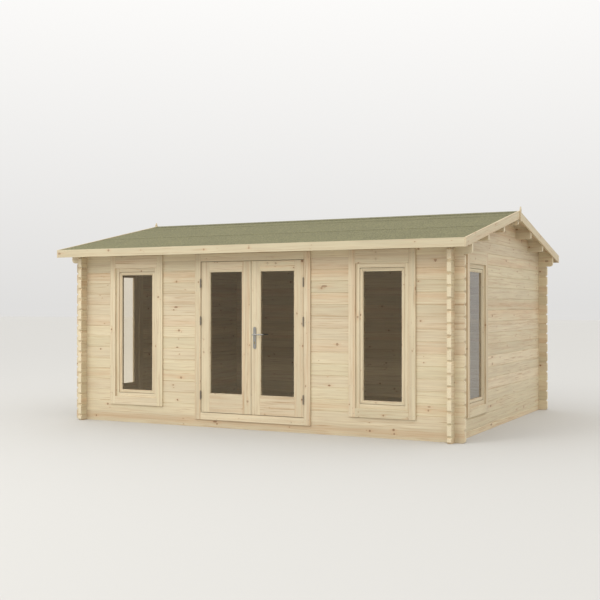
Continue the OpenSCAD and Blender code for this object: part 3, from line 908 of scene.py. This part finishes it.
def add_sheet(verts, faces, rows, thick, flip):
    """Adds a closed sheet, thick above a lower face that is the grid of points in rows. flip turns
    its faces, where the grid runs the other way round."""
    start = len(verts)
    n, m = len(rows), len(rows[0])
    for lift in (Vector((0, 0, 0)), thick):
        for row in rows:
            verts.extend(p + lift for p in row)

    def at(layer, i, k):
        return start + layer * n * m + i * m + k

    made = []
    for i in range(n - 1):
        for k in range(m - 1):
            top = [at(1, i, k), at(1, i, k + 1), at(1, i + 1, k + 1), at(1, i + 1, k)]
            low = [at(0, i, k), at(0, i + 1, k), at(0, i + 1, k + 1), at(0, i, k + 1)]
            made += [top, low]
    for k in range(m - 1):
        made.append([at(0, 0, k), at(0, 0, k + 1), at(1, 0, k + 1), at(1, 0, k)])
        made.append([at(0, n - 1, k + 1), at(0, n - 1, k), at(1, n - 1, k), at(1, n - 1, k + 1)])
    for i in range(n - 1):
        made.append([at(0, i + 1, 0), at(0, i, 0), at(1, i, 0), at(1, i + 1, 0)])
        made.append([at(0, i, m - 1), at(0, i + 1, m - 1), at(1, i + 1, m - 1), at(1, i, m - 1)])
    faces.extend([face[::-1] for face in made] if flip else made)


# ---------------------------------------------------------------- model nodes


def paint_node(name, material, bevel=0.0):
    piece = NODES[name]
    piece.data.materials.clear()
    piece.data.materials.append(material)
    if bevel:
        soften(piece, bevel)


def paint_walls():
    """Each log has its own wood. The gables' courses lie half a log higher than the front's."""
    for name, seed in (
        ("front_sill_log", 12.0),
        ("front_wall_left", 23.0),
        ("front_wall_right", 37.0),
        ("back_wall", 41.0),
    ):
        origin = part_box("front_wall_left" if "front" in name else name)[0].y
        paint_node(name, placed_pine(name + "_pine", seed, "x", origin=origin))
    for name, seed in (("left_gable_wall", 53.0), ("right_gable_wall", 67.0)):
        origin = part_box(name)[0].x
        paint_node(name, placed_pine(name + "_pine", seed, "y", shift=LOG_H / 2, origin=origin))


def paint_beams():
    for name, seed, chance, warmth in (
        ("front_wall_plate", 71.0, 0.5, 0.0),
        ("back_wall_plate", 73.0, 0.5, 0.0),
        ("front_purlins", 79.0, 0.5, 0.0),
        ("ridge_purlin", 83.0, 0.5, 0.0),
        ("back_purlins", 89.0, 0.5, 0.0),
        ("front_fascia", 98.0, 0.85, -0.2),
        ("back_fascia", 101.0, 0.85, -0.2),
    ):
        low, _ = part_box(name)
        material = placed_pine(
            name + "_pine", seed, "x", None, low.z, low.y, chance=chance, warmth=warmth
        )
        paint_node(name, material, BEAM_ARRIS)
    low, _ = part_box("floor_joists")
    paint_node("floor_joists", placed_pine("joist_pine", 103.0, "y", None, low.z, low.x), ARRIS)
    for name, seed in (("left_barge_boards", 107.0), ("right_barge_boards", 109.0)):
        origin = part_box(name)[0].x
        paint_node(name, placed_pine(name + "_pine", seed, "slope", None, 0.0, origin), ARRIS)
    paint_node("gable_finials", placed_pine("finial_pine", 113.0, "z", None, -0.1), FINE_ARRIS)


def paint_glass():
    glass = glass_material()
    for name in NODES:
        if name.endswith("_glass"):
            paint_node(name, glass)


# ---------------------------------------------------------------- hinges, handle and nails


def arc(cx, cy, r, start, end, steps=12):
    """Points of an arc, with its angles in degrees."""
    angles = [math.radians(start + (end - start) * i / steps) for i in range(steps + 1)]
    return [(cx + r * math.cos(a), cy + r * math.sin(a)) for a in angles]


def hinges(steel):
    """The barrels and their flat wings are the model's own, and get domed tips here."""
    low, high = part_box("hinge_pins")
    axis_y = low.y + BARREL_R
    dome = [(BARREL_R - 0.0004, 0), (BARREL_R - 0.001, 0.0016), (0.0048, 0.0042), (0.002, 0.0058)]
    for name in ("hinge_pins", "left_hinge_sleeves", "right_hinge_sleeves"):
        paint_node(name, steel)
    for side in ("left", "right"):
        x = (1 if side == "right" else -1) * (high.x - BARREL_R)
        tips = Solids(side + "_hinge_tips")
        feet = Solids(side + "_hinge_feet")
        for z in HINGE_Z:
            top = Matrix.Translation((x, axis_y, z + BARREL_L / 2))
            foot = Matrix.Translation((x, axis_y, z - BARREL_L / 2)) @ Matrix.Rotation(math.pi, 4, "X")
            tips.turned(top, dome, 16)
            feet.turned(foot, dome, 16)
        tips.build(side + "_door", "dark_steel", steel)
        feet.build("root", "dark_steel", steel)


def handle_plates(steel, brass, dark):
    """Plates with round ends on both faces of the leaf, each with a collar, a lock and two screws."""
    low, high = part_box("handle_plates")
    lever_low, lever_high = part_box("door_lever")
    x = (low.x + high.x) / 2
    lever_z = (lever_low.z + lever_high.z) / 2
    lock_z = lever_z - LOCK_DROP
    half = (high.x - low.x) / 2
    outline = arc(0, high.z - half, half, 0, 180) + arc(0, low.z + half, half, 180, 360)
    lock = arc(0, lock_z, 0.0085, -50, 230) + arc(0, lock_z - 0.019, 0.005, 205, 335)
    slot = [(u * 0.0007, lock_z + v * 0.005) for u, v in ((-1, -1), (1, -1), (1, 1), (-1, 1))]
    collar = [(0.0150, 0), (0.0150, 0.002), (0.0135, 0.0035), (0.0105, 0.0040)]
    screw = [(0.0042, 0), (0.0040, 0.0006), (0.0026, 0.0012), (0.0010, 0.0014)]
    plates, locks, slots = (
        Solids(name) for name in ("handle_backplates", "door_locks", "door_key_slots")
    )
    for y, turn in ((low.y + PLATE_T, 0), (high.y - PLATE_T, math.pi)):
        face = upright(x, y, turn)
        plates.plate(face, outline, -PLATE_T, 0)
        locks.plate(face, lock, -PLATE_T - 0.0015, -PLATE_T + 0.001)
        slots.plate(face, slot, -PLATE_T - 0.0017, -PLATE_T - 0.0010)
        outwards = face @ Matrix.Rotation(math.pi, 4, "X")
        for z, profile in (
            (lever_z, collar),
            (high.z - half * 0.9, screw),
            (low.z + half * 0.9, screw),
        ):
            plates.turned(outwards @ Matrix.Translation((0, -z, PLATE_T)), profile, 28)
    plates.build("right_door", "satin_steel", steel, ["handle_plates"], 0.0012)
    locks.build("right_door", "satin_steel", brass, (), 0.0004, 1)
    slots.build("right_door", "dark_steel", dark)


def lever_handles(steel):
    """A bowed, slimming lever inside and outside, each on a round neck."""
    low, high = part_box("door_lever")
    radius = (high.z - low.z) / 2
    x, z = low.x + radius, (low.z + high.z) / 2
    length = high.x - x
    middle_y = (low.y + high.y) / 2
    reach = (high.y - low.y) / 2 - radius
    levers = Solids("lever_handles")
    steps = 22
    for way in (-1, 1):
        outwards = Matrix.Translation((x, middle_y, z)) @ Matrix.Rotation(-way * math.pi / 2, 4, "X")
        neck = [(0.0075, 0.012), (0.0075, reach - 0.016), (0.0088, reach - 0.008)]
        neck += [(0.0088, reach + 0.001), (0.0070, reach + 0.0065), (0.0030, reach + 0.0085)]
        levers.turned(outwards, neck, 24)
        path, sizes = [], []
        for i in range(steps + 1):
            t = i / steps
            bow = LEVER_BOW * max(0.0, (t - 0.35) / 0.65) ** 2
            path.append(Vector((x - 0.002 + (length + 0.002) * t, middle_y + way * (reach - bow), z)))
            # The last part closes to a round tip
            tip = max(0.08, math.sqrt(max(0.0, 1 - max(0.0, (t - 0.94) / 0.06) ** 2)))
            sizes.append(((0.0062 - 0.0014 * t) * tip, (0.0088 - 0.0018 * t) * tip))
        levers.swept(path, sizes, Vector((0, 0, 1)))
    levers.build("lever", "satin_steel", steel, ["door_lever"])


def nail_heads(name, matrices, material, radius):
    """Round flat heads, each on the plane z = 0 of its matrix."""
    heads = Solids(name)
    profile = [(radius, -0.0010), (radius, 0.0004), (radius * 0.75, 0.0009), (radius * 0.2, 0.0011)]
    for matrix in matrices:
        heads.turned(matrix, profile, 10)
    heads.build("root", "dark_steel", material)


def casing_nails(material):
    """Pairs of nails through the casings outside, near their corners and in between."""
    places = []
    for name in WINDOWS:
        matrix, half, low, high = window_place(name)
        casing_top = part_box(name + "_window_casing")[1].z
        heights = [low - WINDOW_APRON * 0.6, low + 0.25, (low + high) / 2, high - 0.25]
        heights.append(casing_top - 0.045)
        places += nail_pairs(matrix, half + CASING_W / 2, heights)
    low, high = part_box("door_frame")
    matrix = upright(0, low.y)
    heights = [low.z + 0.02 + step * (high.z - low.z - 0.04) / 5 for step in range(6)]
    places += nail_pairs(matrix, high.x - DOOR_FRAME_W + CASING_W / 2, heights)
    nail_heads("casing_nails", places, material, TRIM_NAIL_R)


def barge_nails(material):
    """Pairs of nails through the barge boards into each purlin and wall plate."""
    places = []
    low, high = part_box("right_barge_boards")
    depth = high.z - high.y * math.tan(SLOPE) - low.z
    outer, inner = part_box("front_purlins")
    reach = abs(outer.y) - LOG_T / 2, abs(inner.y) + LOG_T / 2, abs(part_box("back_wall")[0].y)
    outwards = Matrix.Rotation(math.pi, 4, "X")
    for side in (-1, 1):
        face = upright(side * high.x, 0, side * math.pi / 2)
        for y in [way * far for way in (-1, 1) for far in reach]:
            z = high.z - abs(y) * math.tan(SLOPE) - depth / 2
            for rise in (-BARGE_NAIL_SPREAD, BARGE_NAIL_SPREAD):
                places.append(face @ Matrix.Translation((y, z + rise, 0)) @ outwards)
    nail_heads("barge_nails", places, material, TRIM_NAIL_R)


def nail_pairs(matrix, middle, heights):
    """Places of two nails side by side at each height, in both boards at middle from the centre."""
    outwards = Matrix.Rotation(math.pi, 4, "X")
    return [
        matrix @ Matrix.Translation((way * middle + aside, z, -CASING_T)) @ outwards
        for way in (-1, 1)
        for aside in (-NAIL_SPREAD, NAIL_SPREAD)
        for z in heights
    ]


# ---------------------------------------------------------------- stage


def stage_floor():
    reach = 90.0
    corners = [(-reach, -reach, 0), (reach, -reach, 0), (reach, reach, 0), (-reach, reach, 0)]
    mesh = bpy.data.meshes.new("stage_floor")
    mesh.from_pydata(corners, [], [(0, 1, 2, 3)])
    ground = bpy.data.objects.new("stage_floor", mesh)
    ground.location.z = -0.0005
    bpy.context.scene.collection.objects.link(ground)
    paint = Paint("stage_floor")
    paint.set(Base_Color=PALE_FLOOR, Roughness=0.9)
    mesh.materials.append(paint.material)
    ground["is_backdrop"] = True


def sky():
    """Pale all round, brighter overhead than at the horizon."""
    world = bpy.data.worlds.new("sky")
    world.use_nodes = True
    tree = world.node_tree
    background = tree.nodes["Background"]
    background.inputs["Color"].default_value = (*SKY, 1)
    direction = tree.nodes.new("ShaderNodeTexCoord")
    split = tree.nodes.new("ShaderNodeSeparateXYZ")
    rise = tree.nodes.new("ShaderNodeMapRange")
    rise.inputs["To Min"].default_value = SKY_LOW
    rise.inputs["To Max"].default_value = SKY_HIGH
    tree.links.new(direction.outputs["Generated"], split.inputs[0])
    tree.links.new(split.outputs["Z"], rise.inputs["Value"])
    tree.links.new(rise.outputs["Result"], background.inputs["Strength"])
    bpy.context.scene.world = world


def key_light():
    """One broad soft light from the front left."""
    key = bpy.data.lights.new("key", "AREA")
    key.shape = "DISK"
    key.size = KEY_SIZE
    key.energy = KEY_POWER
    key.color = KEY_LIGHT
    lamp = bpy.data.objects.new("key", key)
    lamp.location = KEY_PLACE
    lamp.rotation_euler = (Vector((0, 0, 1)) - lamp.location).to_track_quat("-Z", "Y").to_euler()
    bpy.context.scene.collection.objects.link(lamp)


def camera():
    """At the height of a person's chest, right of the front wall's middle."""
    data = bpy.data.cameras.new("camera")
    data.sensor_width = 36.0
    data.lens = 59.62
    data.clip_end = 400.0
    eye = bpy.data.objects.new("camera", data)
    eye.location = (5.821, -12.208, 1.474)
    eye.rotation_euler = (math.radians(90.32), 0, math.radians(26.76))
    bpy.context.scene.collection.objects.link(eye)
    bpy.context.scene.camera = eye
    bpy.context.scene.view_settings.view_transform = "Standard"


def main():
    stage_floor()
    sky()
    key_light()
    camera()
    paint_walls()
    paint_beams()
    paint_glass()
    steel = metal_material("satin_steel", SATIN_STEEL, 0.36, 14.0)
    dark = metal_material("dark_steel", DARK_STEEL, 0.48, 60.0)
    hinges(dark)
    handle_plates(steel, metal_material("lock_brass", BRASS, 0.30, 40.0), dark)
    lever_handles(steel)
    galvanised = metal_material("nail_steel", GALVANISED, 0.50, 60.0)
    casing_nails(galvanised)
    barge_nails(galvanised)
    felt_nails(galvanised)
    trim = board_pine("trim_pine", cell_l=0.30, cell_h=0.075, chance=0.34, warmth=-0.15)
    for number, name in enumerate(WINDOWS):
        window_casing(name, trim, 200 + 10 * number)
        window_frame(name, trim, 201 + 10 * number)
    door_casing(trim)
    door_frame(trim)
    for name, seed in (("left", 301), ("right", 311)):
        door_leaf(name, trim, seed)
        door_beads(name, trim, seed + 1)
    floor(board_pine("floor_pine", cell_l=0.40, cell_h=0.12, chance=0.5, warmth=0.1))
    roof_pine = board_pine("roof_pine", cell_l=0.35, cell_h=0.098, chance=0.5, warmth=0.1)
    felt = felt_material()
    for side in (-1, 1):
        roof_slope(side, roof_pine)
        felt_slope(side, felt)
    ridge_cap(felt)


main()
[[list(corner) for corner in box] for box in (cad_box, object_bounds())]
